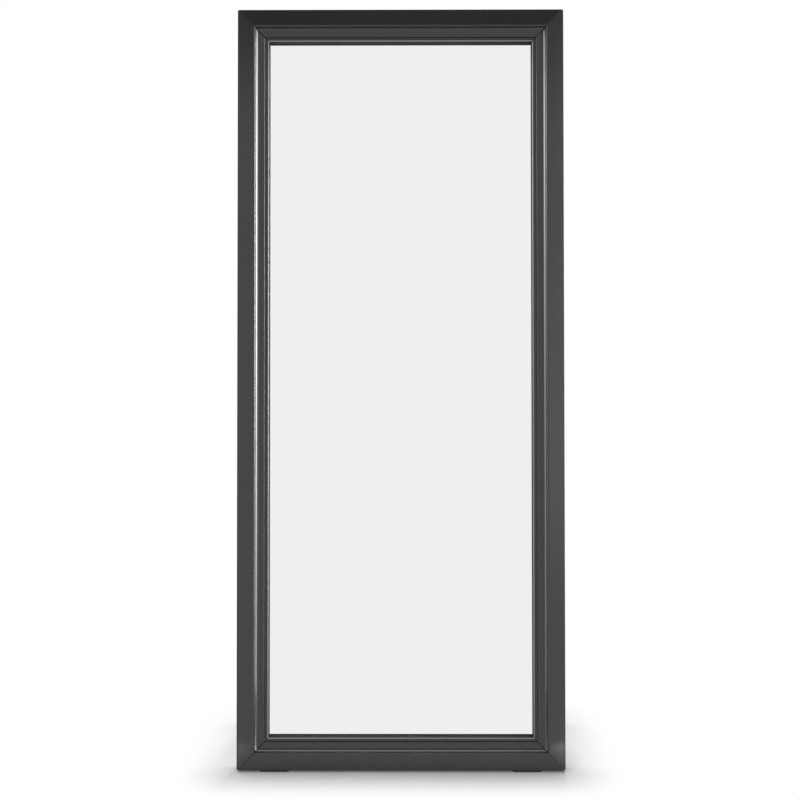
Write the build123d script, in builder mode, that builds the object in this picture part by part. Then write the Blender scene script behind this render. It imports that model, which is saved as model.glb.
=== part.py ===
"""Full-length standing mirror: a mitred, moulded frame leaning back on a folding two-legged stand.

Millimetres, +Z up, the glass faces -Y. The origin is on the floor, under the middle of the overall box.
"""

from build123d import *
import math
import os

os.makedirs("parts", exist_ok=True)

# Overall size of the framed mirror
FRAME_WIDTH = 787.0
FRAME_HEIGHT = 1829.0
LEAN = 7.0
CORNER_ROUND = 3.5

# Moulding section: "in" is measured from the outer edge inwards, "up" from the back face to the front
FACE_WIDTH = 75.0
OUTER_EDGE_UP = 41.0
OUTER_EDGE_ROUND = 2.0
CROWN_UP = 45.9
CROWN_SAGITTA = 0.4
CROWN_EDGE_ROUND = 1.3
STEP_IN = 42.5
COVE_RADIUS = 10.5
PLATEAU_UP = 31.6
BEAD_IN = 63.3
BEAD_RADIUS = 1.3
BEAD_FOOT_IN = 65.9
GROOVE_UP = 27.0
LIP_IN = 70.2
LIP_UP = 30.6
LIP_ROUND = 1.2
SIGHT_EDGE_ROUND = 1.7

# Rebate that holds the glass and the back panel
REBATE_IN = 64.0
REBATE_UP = 14.0
TAPE_THICKNESS = 3.0
TAPE_WIDTH = 8.0
TAPE_SETBACK = 0.5
GLASS_THICKNESS = 5.0
GLASS_GAP = 1.5
PANEL_THICKNESS = 3.0
PANEL_GAP = 1.0
PANEL_CORNER = 6.0
GLASS_ARRIS = 0.5
TAPE_END_GAP = 0.5

# Mitre biscuits, one per corner, half in each rail
BISCUIT_LENGTH = 56.0
BISCUIT_WIDTH = 23.0
BISCUIT_THICKNESS = 4.0
BISCUIT_SLACK = 0.1
BISCUIT_IN = 32.0
BISCUIT_UP = 16.0

# Flat steel corner braces on the back face
BRACE_ARM = 78.0
BRACE_WIDTH = 16.0
BRACE_THICKNESS = 2.0
BRACE_IN = 22.0
BRACE_HOLES = (30.0, 66.0)
BRACE_CORNER = 3.0

# Offset clips that press the back panel against the glass
CLIP_WIDTH = 13.0
CLIP_THICKNESS = 1.2
CLIP_BASE_IN = 46.0
CLIP_TONGUE_IN = 74.0
CLIP_SCREW_IN = 54.0
CLIP_STEP_GAP = 0.5
CLIP_CORNER = 2.0
STILE_CLIP_OFFSETS = (130.0, 420.0, 700.0)
RAIL_CLIP_OFFSETS = (-210.0, 0.0, 210.0)

# Keyhole hangers let into the backs of the stiles
KEYHOLE_PLATE_LENGTH = 52.0
KEYHOLE_PLATE_WIDTH = 18.0
KEYHOLE_PLATE_THICKNESS = 2.0
KEYHOLE_HEAD_RADIUS = 5.0
KEYHOLE_SLOT_WIDTH = 5.0
KEYHOLE_SLOT_RISE = 11.0
KEYHOLE_POCKET_DEPTH = 9.0
KEYHOLE_IN = 32.0
KEYHOLE_DROP = 190.0
KEYHOLE_SCREW_OFFSET = 20.0
KEYHOLE_RECESS_SLACK = 0.4
KEYHOLE_POCKET_LENGTH = 26.0
KEYHOLE_POCKET_SLACK = 1.0

# Rubber pads under the bottom rail and rubber bumpers behind the top rail
PAD_LENGTH = 70.0
PAD_DEPTH = 30.0
PAD_UP = 19.0
PAD_IN = 90.0
PAD_LEAST = 2.0
PAD_CORNER = 6.0
BUMPER_RADIUS = 9.0
BUMPER_HEIGHT = 6.0
BUMPER_ROUND = 3.0
BUMPER_X = 250.0
BUMPER_DROP = 30.0
BUMPER_TAPER = 5.0

# Folding stand
PIVOT_HEIGHT = 1150.0
PIVOT_STANDOFF = 18.0
LEG_SLOPE = 7.0
LEG_WIDTH = 40.0
LEG_THICKNESS = 20.0
LEG_HEEL = 50.0
LEG_EDGE_ROUND = 1.8
LONG_EDGE_SHARE = 0.8
HEEL_ROUND = 12.0
LEG_IN = 32.0
HEEL_GAP = 0.3
TIP_WALL = 2.0
TIP_FLOOR = 5.0
TIP_HEIGHT = 24.0
TIP_CORNER = 3.5
TIP_SLACK = 0.1
CROSSBAR_HEIGHT = 45.0
CROSSBAR_THICKNESS = 18.0
UPPER_CROSSBAR_DROP = 120.0
LOWER_CROSSBAR_RISE = 150.0
CROSSBAR_SCREW_OFFSET = 12.0

# Hinge brackets and their pivot hardware
BRACKET_PLATE = 2.5
BRACKET_LENGTH = 112.0
BRACKET_CHEEK_ROOT = 46.0
BRACKET_CHEEK_ROUND = 12.0
BRACKET_SCREW_X = 14.0
BRACKET_SCREW_V = 44.0
BRACKET_CORNER = 5.0
WASHER_THICKNESS = 1.2
WASHER_GAP = 0.3
WASHER_RADIUS = 9.0
BOLT_RADIUS = 4.0
BOLT_HEAD_RADIUS = 8.0
BOLT_HEAD_HEIGHT = 4.5
BOLT_HEAD_ROUND = 2.0
BOLT_HOLE_SLACK = 0.1
BOLT_END = 2.0
HEX_DRIVE_RADIUS = 2.9
HEX_DRIVE_DEPTH = 2.5
NUT_ACROSS_FLATS = 13.0
NUT_HEIGHT = 6.5
BUSH_RADIUS = 6.0
RUNNING_GAP = 0.05

# Screws: head radius, shank radius and length, which is taken from the seat of a dome head
CLIP_SCREW = (3.4, 1.6, 15.0)
BRACE_SCREW = (3.4, 1.7, 20.0)
KEYHOLE_SCREW = (3.2, 1.6, 15.0)
BRACKET_SCREW = (4.3, 2.2, 32.0)
CROSSBAR_SCREW = (5.0, 3.2, 68.0)
SCREW_POINT = 4.0
COUNTERSINK = 82.0
HEAD_SLACK = 0.1
DOME_HEIGHT = 0.6
DOME_SHOULDER_IN = 0.65
DOME_SHOULDER_UP = 0.4
DRIVE_WIDTH = 0.9
DRIVE_REACH = 0.62
DRIVE_DEPTH = 1.1
HOLE_SLACK = 0.05

HALF_WIDTH = FRAME_WIDTH / 2
PIVOT_X = HALF_WIDTH - LEG_IN
OPENING = LEAN + LEG_SLOPE
SIN_LEAN = math.sin(math.radians(LEAN))
COS_LEAN = math.cos(math.radians(LEAN))
SIN_SLOPE = math.sin(math.radians(LEG_SLOPE))
COS_SLOPE = math.cos(math.radians(LEG_SLOPE))

# Height of the frame's lowest edge, and the leg's reach from its pivot to the floor
BACK_EDGE_Z = PAD_LEAST - (PAD_UP - PAD_DEPTH / 2) * SIN_LEAN
PIVOT_DEPTH = BRACKET_PLATE + PIVOT_STANDOFF
PIVOT_Z = BACK_EDGE_Z + PIVOT_HEIGHT * COS_LEAN - PIVOT_DEPTH * SIN_LEAN
LEG_REACH = PIVOT_Z / COS_SLOPE

# The box runs from the crown of the bottom rail to the rear corner of the leg tips
TIP_HALF = LEG_THICKNESS / 2 + TIP_WALL
CROWN_FRONT = (STEP_IN - CROWN_EDGE_ROUND) * SIN_LEAN - CROWN_UP * COS_LEAN
PIVOT_BACK = PIVOT_HEIGHT * SIN_LEAN + PIVOT_DEPTH * COS_LEAN
TIP_BACK = PIVOT_BACK + LEG_REACH * SIN_SLOPE + TIP_HALF / COS_SLOPE
BACK_EDGE_Y = -(CROWN_FRONT + TIP_BACK) / 2

# Back face of the leaning frame: local x across, local y up the frame, local z towards the viewer
FRONT_NORMAL = Vector(0, -COS_LEAN, SIN_LEAN)
FRAME_UP = Vector(0, SIN_LEAN, COS_LEAN)
ACROSS = Vector(1, 0, 0)
BACK = Plane(origin=(0, BACK_EDGE_Y, BACK_EDGE_Z), x_dir=ACROSS, z_dir=FRONT_NORMAL)

# Middle of the opened stand: local y runs up the legs and local z towards the frame
STAND_FRONT = Vector(0, -COS_SLOPE, -SIN_SLOPE)
PIVOT = BACK.from_local_coords(Vector(0, PIVOT_HEIGHT, -PIVOT_DEPTH))
STAND = Plane(origin=PIVOT, x_dir=ACROSS, z_dir=STAND_FRONT)


def on_back(x, v, w=0.0, turn=0.0):
    """Place on the frame, x across, v up and w forward, with local +Z pointing out of the back."""
    return BACK.location * Location((x, v, w), (180, 0, turn))


def save(shape, name):
    """Labels one finished piece and writes it."""
    shape.label = name
    export_step(shape, f"parts/{name}.step")
    print(name, len(shape.solids()), round(shape.volume))


# Screw positions on the back face, as (x, v)
MIDDLE_V = FRAME_HEIGHT / 2
CORNERS = [(sx, sv) for sx in (-1, 1) for sv in (-1, 1)]


def inset(sx, sv, inwards, upwards):
    """Point measured from a corner of the frame, inwards along each side."""
    return sx * (HALF_WIDTH - inwards), MIDDLE_V + sv * (MIDDLE_V - upwards)


BRACE_MIDDLE = BRACE_IN + BRACE_WIDTH / 2
BRACE_POINTS = [inset(sx, sv, BRACE_MIDDLE, BRACE_IN + h) for sx, sv in CORNERS for h in BRACE_HOLES]
BRACE_POINTS += [inset(sx, sv, BRACE_IN + h, BRACE_MIDDLE) for sx, sv in CORNERS for h in BRACE_HOLES]

# Each clip is (x, v, turn), with its tongue pointing along local +Y after the turn
STILE_CLIPS = [
    (sx * (HALF_WIDTH - CLIP_SCREW_IN), MIDDLE_V + sv * offset, 90.0 * sx)
    for sx, sv in CORNERS
    for offset in STILE_CLIP_OFFSETS
]
RAIL_CLIPS = [
    (x, MIDDLE_V + sv * (MIDDLE_V - CLIP_SCREW_IN), 90.0 - 90.0 * sv)
    for sv in (-1, 1)
    for x in RAIL_CLIP_OFFSETS
]
CLIP_PLACES = STILE_CLIPS + RAIL_CLIPS
CLIP_POINTS = [(x, v) for x, v, _ in CLIP_PLACES]

KEYHOLE_V = FRAME_HEIGHT - KEYHOLE_DROP
KEYHOLE_X = HALF_WIDTH - KEYHOLE_IN
KEYHOLE_SCREW_POINTS = [
    (sx * KEYHOLE_X, KEYHOLE_V + sv * KEYHOLE_SCREW_OFFSET) for sx, sv in CORNERS
]
BRACKET_POINTS = [
    (side * PIVOT_X + sx * BRACKET_SCREW_X, PIVOT_HEIGHT + sv * BRACKET_SCREW_V)
    for side in (-1, 1)
    for sx, sv in CORNERS
]


def screw(head_radius, shank_radius, length, countersunk=True):
    """Cross-head wood screw with its head's rim at z = 0 and its shank down -Z."""
    dome = 0.0 if countersunk else DOME_HEIGHT * head_radius
    sink = (head_radius - shank_radius) / math.tan(math.radians(COUNTERSINK / 2)) if countersunk else 0.0
    shoulder = [(head_radius * DOME_SHOULDER_IN, dome), (head_radius, dome * DOME_SHOULDER_UP)]
    crown = [(0, dome)] + (shoulder if dome else [])
    under = [(head_radius, 0), (shank_radius, -sink), (shank_radius, SCREW_POINT - length), (0, -length)]
    with BuildPart() as one:
        with BuildSketch(Plane.XZ):
            with BuildLine():
                Polyline(*crown, *under, close=True)
            make_face()
        revolve(axis=Axis.Z)
        with BuildSketch(Plane.XY.offset(dome)):
            Rectangle(2 * DRIVE_REACH * head_radius, DRIVE_WIDTH)
            Rectangle(DRIVE_WIDTH, 2 * DRIVE_REACH * head_radius)
        extrude(amount=-DRIVE_DEPTH, mode=Mode.SUBTRACT)
    return one.part


# Moulding section: local x inwards from the outer edge, local y forward from the back
CROWN_IN = STEP_IN - CROWN_EDGE_ROUND
COVE_FLOOR_IN = STEP_IN + COVE_RADIUS
COVE_UP = PLATEAU_UP + COVE_RADIUS
BEAD_SIDE_IN = BEAD_IN + BEAD_RADIUS
with BuildSketch() as section:
    with BuildLine():
        Line((0, 0), (0, OUTER_EDGE_UP - OUTER_EDGE_ROUND))
        RadiusArc(
            (0, OUTER_EDGE_UP - OUTER_EDGE_ROUND),
            (OUTER_EDGE_ROUND, OUTER_EDGE_UP),
            OUTER_EDGE_ROUND,
        )
        SagittaArc((OUTER_EDGE_ROUND, OUTER_EDGE_UP), (CROWN_IN, CROWN_UP), CROWN_SAGITTA)
        RadiusArc((CROWN_IN, CROWN_UP), (STEP_IN, CROWN_UP - CROWN_EDGE_ROUND), CROWN_EDGE_ROUND)
        Line((STEP_IN, CROWN_UP - CROWN_EDGE_ROUND), (STEP_IN, COVE_UP))
        RadiusArc((STEP_IN, COVE_UP), (COVE_FLOOR_IN, PLATEAU_UP), -COVE_RADIUS)
        Line((COVE_FLOOR_IN, PLATEAU_UP), (BEAD_IN, PLATEAU_UP))
        RadiusArc((BEAD_IN, PLATEAU_UP), (BEAD_SIDE_IN, PLATEAU_UP - BEAD_RADIUS), BEAD_RADIUS)
        Line((BEAD_SIDE_IN, PLATEAU_UP - BEAD_RADIUS), (BEAD_FOOT_IN, GROOVE_UP))
        Line((BEAD_FOOT_IN, GROOVE_UP), (LIP_IN, GROOVE_UP))
        Line((LIP_IN, GROOVE_UP), (LIP_IN, LIP_UP - LIP_ROUND))
        RadiusArc((LIP_IN, LIP_UP - LIP_ROUND), (LIP_IN + LIP_ROUND, LIP_UP), LIP_ROUND)
        Line((LIP_IN + LIP_ROUND, LIP_UP), (FACE_WIDTH - SIGHT_EDGE_ROUND, LIP_UP))
        RadiusArc(
            (FACE_WIDTH - SIGHT_EDGE_ROUND, LIP_UP), (FACE_WIDTH, LIP_UP - SIGHT_EDGE_ROUND), SIGHT_EDGE_ROUND
        )
        Line((FACE_WIDTH, LIP_UP - SIGHT_EDGE_ROUND), (FACE_WIDTH, REBATE_UP))
        Line((FACE_WIDTH, REBATE_UP), (REBATE_IN, REBATE_UP))
        Line((REBATE_IN, REBATE_UP), (REBATE_IN, 0))
        Line((REBATE_IN, 0), (0, 0))
    make_face()


def biscuit_outline(slack=0.0):
    """Draws one pointed-oval biscuit along each mitre line."""
    for sx, sv in CORNERS:
        x, v = inset(sx, sv, BISCUIT_IN, BISCUIT_IN)
        with Locations(Location((x, v, 0), (0, 0, 45 * sx * sv))):
            SlotOverall(BISCUIT_LENGTH + 2 * slack, BISCUIT_WIDTH + 2 * slack)


def drill(points, radius, depth):
    """Cuts blind holes into the back face of the rail being built."""
    with Locations(*[on_back(x, v) for x, v in points]):
        Hole(radius + HOLE_SLACK, depth)


def moulding(start, run, inwards, length):
    """One rail: the section run along one side of the frame and mitred at both ends, with its joinery cut."""
    end = start + run * length
    with BuildPart() as rail:
        with BuildSketch(Plane(origin=start, x_dir=inwards, z_dir=run)):
            add(section.sketch)
        extrude(amount=length)
        split(bisect_by=Plane(origin=start, z_dir=run - inwards), keep=Keep.TOP)
        split(bisect_by=Plane(origin=end, z_dir=-run - inwards), keep=Keep.TOP)
        with BuildSketch(BACK):
            with Locations((0, MIDDLE_V)):
                RectangleRounded(FRAME_WIDTH, FRAME_HEIGHT, CORNER_ROUND)
        extrude(amount=CROWN_UP + CROWN_SAGITTA, mode=Mode.INTERSECT)
        with BuildSketch(BACK.offset(BISCUIT_UP - BISCUIT_SLACK)):
            biscuit_outline(BISCUIT_SLACK)
        extrude(amount=BISCUIT_THICKNESS + 2 * BISCUIT_SLACK, mode=Mode.SUBTRACT)
        drill(CLIP_POINTS, CLIP_SCREW[1], CLIP_SCREW[2])
        drill(BRACE_POINTS, BRACE_SCREW[1], BRACE_SCREW[2])
    return rail


def corner_point(x, v):
    """Point on the frame's back face."""
    return BACK.from_local_coords(Vector(x, v, 0))


# Rails and stiles, taken round the frame in order
bottom_rail = moulding(corner_point(-HALF_WIDTH, 0), ACROSS, FRAME_UP, FRAME_WIDTH)
save(bottom_rail.part, "bottom_rail")
top_rail = moulding(corner_point(HALF_WIDTH, FRAME_HEIGHT), -ACROSS, -FRAME_UP, FRAME_WIDTH)
save(top_rail.part, "top_rail")

STILES = {
    "left_stile": (corner_point(-HALF_WIDTH, FRAME_HEIGHT), -FRAME_UP, ACROSS),
    "right_stile": (corner_point(HALF_WIDTH, 0), FRAME_UP, -ACROSS),
}
for name, (start, run, inwards) in STILES.items():
    blank = moulding(start, run, inwards, FRAME_HEIGHT)
    with BuildPart() as stile:
        add(blank.part)
        drill(BRACKET_POINTS, BRACKET_SCREW[1], BRACKET_SCREW[2])
        drill(KEYHOLE_SCREW_POINTS, KEYHOLE_SCREW[1], KEYHOLE_SCREW[2])
        with BuildSketch(BACK):
            with Locations((-KEYHOLE_X, KEYHOLE_V), (KEYHOLE_X, KEYHOLE_V)):
                SlotOverall(
                    KEYHOLE_PLATE_LENGTH + KEYHOLE_RECESS_SLACK,
                    KEYHOLE_PLATE_WIDTH + KEYHOLE_RECESS_SLACK,
                    rotation=90,
                )
        extrude(amount=KEYHOLE_PLATE_THICKNESS, mode=Mode.SUBTRACT)
        with BuildSketch(BACK):
            with Locations((-KEYHOLE_X, KEYHOLE_V), (KEYHOLE_X, KEYHOLE_V)):
                SlotOverall(
                    KEYHOLE_POCKET_LENGTH, 2 * KEYHOLE_HEAD_RADIUS + KEYHOLE_POCKET_SLACK, rotation=90
                )
        extrude(amount=KEYHOLE_POCKET_DEPTH, mode=Mode.SUBTRACT)
    save(stile.part, name)

with BuildPart() as biscuits:
    with BuildSketch(BACK.offset(BISCUIT_UP)):
        biscuit_outline()
    extrude(amount=BISCUIT_THICKNESS)
save(biscuits.part, "mitre_biscuits")

# Glass, the tape it beds on, and the back panel
GLASS_UP = REBATE_UP - TAPE_THICKNESS - GLASS_THICKNESS
PANEL_UP = GLASS_UP - PANEL_THICKNESS
with BuildPart() as glass:
    inset_width = 2 * (REBATE_IN + GLASS_GAP)
    with BuildSketch(BACK.offset(GLASS_UP)):
        with Locations((0, MIDDLE_V)):
            Rectangle(FRAME_WIDTH - inset_width, FRAME_HEIGHT - inset_width)
    extrude(amount=GLASS_THICKNESS)
    chamfer(glass.edges(), GLASS_ARRIS)
save(glass.part, "mirror_glass")

with BuildPart() as tape:
    tape_outer = FACE_WIDTH - TAPE_SETBACK - TAPE_WIDTH
    tape_mid_in = tape_outer + TAPE_WIDTH / 2
    with BuildSketch(BACK.offset(REBATE_UP - TAPE_THICKNESS)):
        with Locations(*[(side * (HALF_WIDTH - tape_mid_in), MIDDLE_V) for side in (-1, 1)]):
            Rectangle(TAPE_WIDTH, FRAME_HEIGHT - 2 * (tape_outer + TAPE_WIDTH + TAPE_END_GAP))
        with Locations(*[(0, MIDDLE_V + side * (MIDDLE_V - tape_mid_in)) for side in (-1, 1)]):
            Rectangle(FRAME_WIDTH - 2 * tape_outer, TAPE_WIDTH)
    extrude(amount=TAPE_THICKNESS)
save(tape.part, "glazing_tape")

with BuildPart() as panel:
    panel_inset = 2 * (REBATE_IN + PANEL_GAP)
    with BuildSketch(BACK.offset(PANEL_UP)):
        with Locations((0, MIDDLE_V)):
            RectangleRounded(FRAME_WIDTH - panel_inset, FRAME_HEIGHT - panel_inset, PANEL_CORNER)
    extrude(amount=PANEL_THICKNESS)
save(panel.part, "back_panel")

# One offset clip, base at z = 0 with its screw hole on the origin, tongue stepping down and out along +Y
base_length = CLIP_SCREW_IN - CLIP_BASE_IN
step_at = REBATE_IN - CLIP_SCREW_IN + CLIP_THICKNESS + CLIP_STEP_GAP
tongue_end = CLIP_TONGUE_IN - CLIP_SCREW_IN
with BuildPart() as clip:
    with BuildSketch(Plane.YZ):
        with BuildLine():
            Polyline(
                (-base_length, 0),
                (-base_length, CLIP_THICKNESS),
                (step_at, CLIP_THICKNESS),
                (step_at + CLIP_THICKNESS, CLIP_THICKNESS - PANEL_UP),
                (tongue_end, CLIP_THICKNESS - PANEL_UP),
                (tongue_end, -PANEL_UP),
                (step_at, -PANEL_UP),
                (step_at - CLIP_THICKNESS, 0),
                close=True,
            )
        make_face()
    extrude(amount=CLIP_WIDTH / 2, both=True)
    fillet(clip.edges().filter_by(Axis.Z), CLIP_CORNER)
    with Locations((0, 0, CLIP_THICKNESS)):
        Hole(CLIP_SCREW[1] + HEAD_SLACK)
with BuildPart() as clips:
    with Locations(*[on_back(x, v, 0, turn) for x, v, turn in CLIP_PLACES]):
        add(clip.part)
save(clips.part, "panel_clips")

clip_screw = screw(*CLIP_SCREW, countersunk=False)
with BuildPart() as clip_screws:
    with Locations(*[on_back(x, v, -CLIP_THICKNESS) for x, v in CLIP_POINTS]):
        add(clip_screw)
save(clip_screws.part, "panel_clip_screws")

# L-shaped corner braces with countersunk screws
with BuildPart() as braces:
    with BuildSketch(BACK):
        for sx, sv in CORNERS:
            with Locations(inset(sx, sv, BRACE_MIDDLE, BRACE_IN + BRACE_ARM / 2)):
                RectangleRounded(BRACE_WIDTH, BRACE_ARM, BRACE_CORNER)
            with Locations(inset(sx, sv, BRACE_IN + BRACE_ARM / 2, BRACE_MIDDLE)):
                RectangleRounded(BRACE_ARM, BRACE_WIDTH, BRACE_CORNER)
    extrude(amount=-BRACE_THICKNESS)
    with Locations(*[on_back(x, v, -BRACE_THICKNESS) for x, v in BRACE_POINTS]):
        CounterSinkHole(BRACE_SCREW[1] + HEAD_SLACK, BRACE_SCREW[0] + HEAD_SLACK, BRACE_THICKNESS)
save(braces.part, "corner_braces")

brace_screw = screw(*BRACE_SCREW)
with BuildPart() as brace_screws:
    with Locations(*[on_back(x, v, -BRACE_THICKNESS) for x, v in BRACE_POINTS]):
        add(brace_screw)
save(brace_screws.part, "corner_brace_screws")

# Keyhole hangers, flush with the back face
with BuildPart() as keyholes:
    with BuildSketch(BACK):
        with Locations((-KEYHOLE_X, KEYHOLE_V), (KEYHOLE_X, KEYHOLE_V)):
            SlotOverall(KEYHOLE_PLATE_LENGTH, KEYHOLE_PLATE_WIDTH, rotation=90)
            Circle(KEYHOLE_HEAD_RADIUS, mode=Mode.SUBTRACT)
            with Locations((0, KEYHOLE_SLOT_RISE / 2)):
                SlotCenterToCenter(
                    KEYHOLE_SLOT_RISE, KEYHOLE_SLOT_WIDTH, rotation=90, mode=Mode.SUBTRACT
                )
    extrude(amount=KEYHOLE_PLATE_THICKNESS)
    with Locations(*[on_back(x, v) for x, v in KEYHOLE_SCREW_POINTS]):
        CounterSinkHole(
            KEYHOLE_SCREW[1] + HEAD_SLACK, KEYHOLE_SCREW[0] + HEAD_SLACK, KEYHOLE_PLATE_THICKNESS
        )
save(keyholes.part, "keyhole_plates")

keyhole_screw = screw(*KEYHOLE_SCREW)
with BuildPart() as keyhole_screws:
    with Locations(*[on_back(x, v) for x, v in KEYHOLE_SCREW_POINTS]):
        add(keyhole_screw)
save(keyhole_screws.part, "keyhole_plate_screws")

# Wedge pads: flat on the floor, tight under the leaning bottom rail
UNDERSIDE = Plane(origin=corner_point(0, 0), x_dir=ACROSS, z_dir=-FRAME_UP)
with BuildPart() as pads:
    with BuildSketch(UNDERSIDE):
        pad_x = HALF_WIDTH - PAD_IN
        with Locations((-pad_x, PAD_UP), (pad_x, PAD_UP)):
            RectangleRounded(PAD_LENGTH, PAD_DEPTH, PAD_CORNER)
    extrude(amount=PAD_DEPTH)
    split(bisect_by=Plane.XY, keep=Keep.TOP)
save(pads.part, "floor_pads")

with BuildPart() as bumper:
    with BuildSketch():
        Circle(BUMPER_RADIUS)
    extrude(amount=BUMPER_HEIGHT, taper=BUMPER_TAPER)
    fillet(bumper.edges().group_by(Axis.Z)[-1], BUMPER_ROUND)
with BuildPart() as bumpers:
    with Locations(*[on_back(side * BUMPER_X, FRAME_HEIGHT - BUMPER_DROP) for side in (-1, 1)]):
        add(bumper.part)
save(bumpers.part, "wall_bumpers")

# Hinge brackets: a base plate on the stile and two cheeks that carry the pivot bolt
CHEEK_INNER = LEG_WIDTH / 2 + WASHER_THICKNESS + WASHER_GAP
CHEEK_OUTER = CHEEK_INNER + BRACKET_PLATE


def side_plane(x):
    """Plane square to the pivot at x: local x forward from the plate's back, local y up the frame."""
    origin = BACK.from_local_coords(Vector(x, PIVOT_HEIGHT, -PIVOT_DEPTH))
    return Plane(origin=origin, x_dir=FRONT_NORMAL, z_dir=-ACROSS)


for name, side in (("left_hinge_bracket", -1), ("right_hinge_bracket", 1)):
    with BuildPart() as bracket:
        with BuildSketch(BACK):
            with Locations((side * PIVOT_X, PIVOT_HEIGHT)):
                RectangleRounded(2 * CHEEK_OUTER, BRACKET_LENGTH, BRACKET_CORNER)
        extrude(amount=-BRACKET_PLATE)
        for cheek_x in (CHEEK_OUTER, -CHEEK_INNER):
            with BuildSketch(side_plane(side * PIVOT_X + cheek_x)):
                with BuildLine():
                    Polyline(
                        (PIVOT_STANDOFF, BRACKET_CHEEK_ROOT / 2),
                        (0, BRACKET_CHEEK_ROUND),
                        (0, -BRACKET_CHEEK_ROUND),
                        (PIVOT_STANDOFF, -BRACKET_CHEEK_ROOT / 2),
                        close=True,
                    )
                make_face()
                Circle(BRACKET_CHEEK_ROUND)
                Circle(BOLT_RADIUS + BOLT_HOLE_SLACK, mode=Mode.SUBTRACT)
            extrude(amount=BRACKET_PLATE)
        here = [p for p in BRACKET_POINTS if p[0] * side > 0]
        with Locations(*[on_back(x, v, -BRACKET_PLATE) for x, v in here]):
            CounterSinkHole(
                BRACKET_SCREW[1] + HEAD_SLACK, BRACKET_SCREW[0] + HEAD_SLACK, BRACKET_PLATE
            )
    save(bracket.part, name)

bracket_screw = screw(*BRACKET_SCREW)
with BuildPart() as bracket_screws:
    with Locations(*[on_back(x, v, -BRACKET_PLATE) for x, v in BRACKET_POINTS]):
        add(bracket_screw)
save(bracket_screws.part, "hinge_bracket_screws")

# Pivot bolts run outwards-in, with a dome head outside and a nut inside each bracket
BOLT_LENGTH = 2 * CHEEK_OUTER + NUT_HEIGHT + BOLT_END
with BuildPart() as pivot_bolts:
    for side in (-1, 1):
        head_face = Plane(
            origin=PIVOT + ACROSS * (side * (PIVOT_X + CHEEK_OUTER)), z_dir=ACROSS * side
        )
        with BuildSketch(head_face):
            Circle(BOLT_HEAD_RADIUS)
        extrude(amount=BOLT_HEAD_HEIGHT)
        dome_face = pivot_bolts.faces().filter_by(Axis.X).sort_by(Axis.X)[-1 if side > 0 else 0]
        fillet(dome_face.edges(), BOLT_HEAD_ROUND)
        with BuildSketch(head_face.offset(BOLT_HEAD_HEIGHT)):
            RegularPolygon(HEX_DRIVE_RADIUS, 6)
        extrude(amount=-HEX_DRIVE_DEPTH, mode=Mode.SUBTRACT)
        with BuildSketch(head_face):
            Circle(BOLT_RADIUS)
        extrude(amount=-BOLT_LENGTH)
save(pivot_bolts.part, "pivot_bolts")

with BuildPart() as pivot_nuts:
    for side in (-1, 1):
        nut_face = Plane(
            origin=PIVOT + ACROSS * (side * (PIVOT_X - CHEEK_OUTER)), z_dir=-ACROSS * side
        )
        with BuildSketch(nut_face):
            RegularPolygon(NUT_ACROSS_FLATS / 2, 6, major_radius=False)
            Circle(BOLT_RADIUS + HOLE_SLACK, mode=Mode.SUBTRACT)
        extrude(amount=NUT_HEIGHT)
save(pivot_nuts.part, "pivot_nuts")

with BuildPart() as pivot_washers:
    for side in (-1, 1):
        for face_x, way in ((CHEEK_INNER, -1), (-CHEEK_INNER, 1)):
            washer_face = Plane(
                origin=PIVOT + ACROSS * (side * PIVOT_X + face_x), z_dir=ACROSS * way
            )
            with BuildSketch(washer_face):
                Circle(WASHER_RADIUS)
                Circle(BOLT_RADIUS + HOLE_SLACK, mode=Mode.SUBTRACT)
            extrude(amount=WASHER_THICKNESS)
save(pivot_washers.part, "pivot_washers")

# Legs: bevelled heel that bears on the bracket plate when open, rounded behind, square at the foot
WOOD_REACH = LEG_REACH - TIP_FLOOR - TIP_HALF * SIN_SLOPE / COS_SLOPE
PLATE_REACH = PIVOT_STANDOFF - HEEL_GAP
SIN_OPEN = math.sin(math.radians(OPENING))
COS_OPEN = math.cos(math.radians(OPENING))
HALF_LEG = LEG_THICKNESS / 2
HEEL_START = (PLATE_REACH - HALF_LEG * COS_OPEN) / SIN_OPEN
HEEL_TOP_FRONT = (PLATE_REACH - LEG_HEEL * SIN_OPEN) / COS_OPEN
UPPER_BAR_Y = -UPPER_CROSSBAR_DROP
LOWER_BAR_Y = LOWER_CROSSBAR_RISE - LEG_REACH
BAR_SCREW_Y = [
    bar + way * CROSSBAR_SCREW_OFFSET for bar in (UPPER_BAR_Y, LOWER_BAR_Y) for way in (-1, 1)
]


def leg_side(x):
    """Plane along a leg's side: local x towards the frame, local y up the leg."""
    origin = STAND.from_local_coords(Vector(x, 0, 0))
    return Plane(origin=origin, x_dir=STAND_FRONT, z_dir=-ACROSS)


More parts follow.
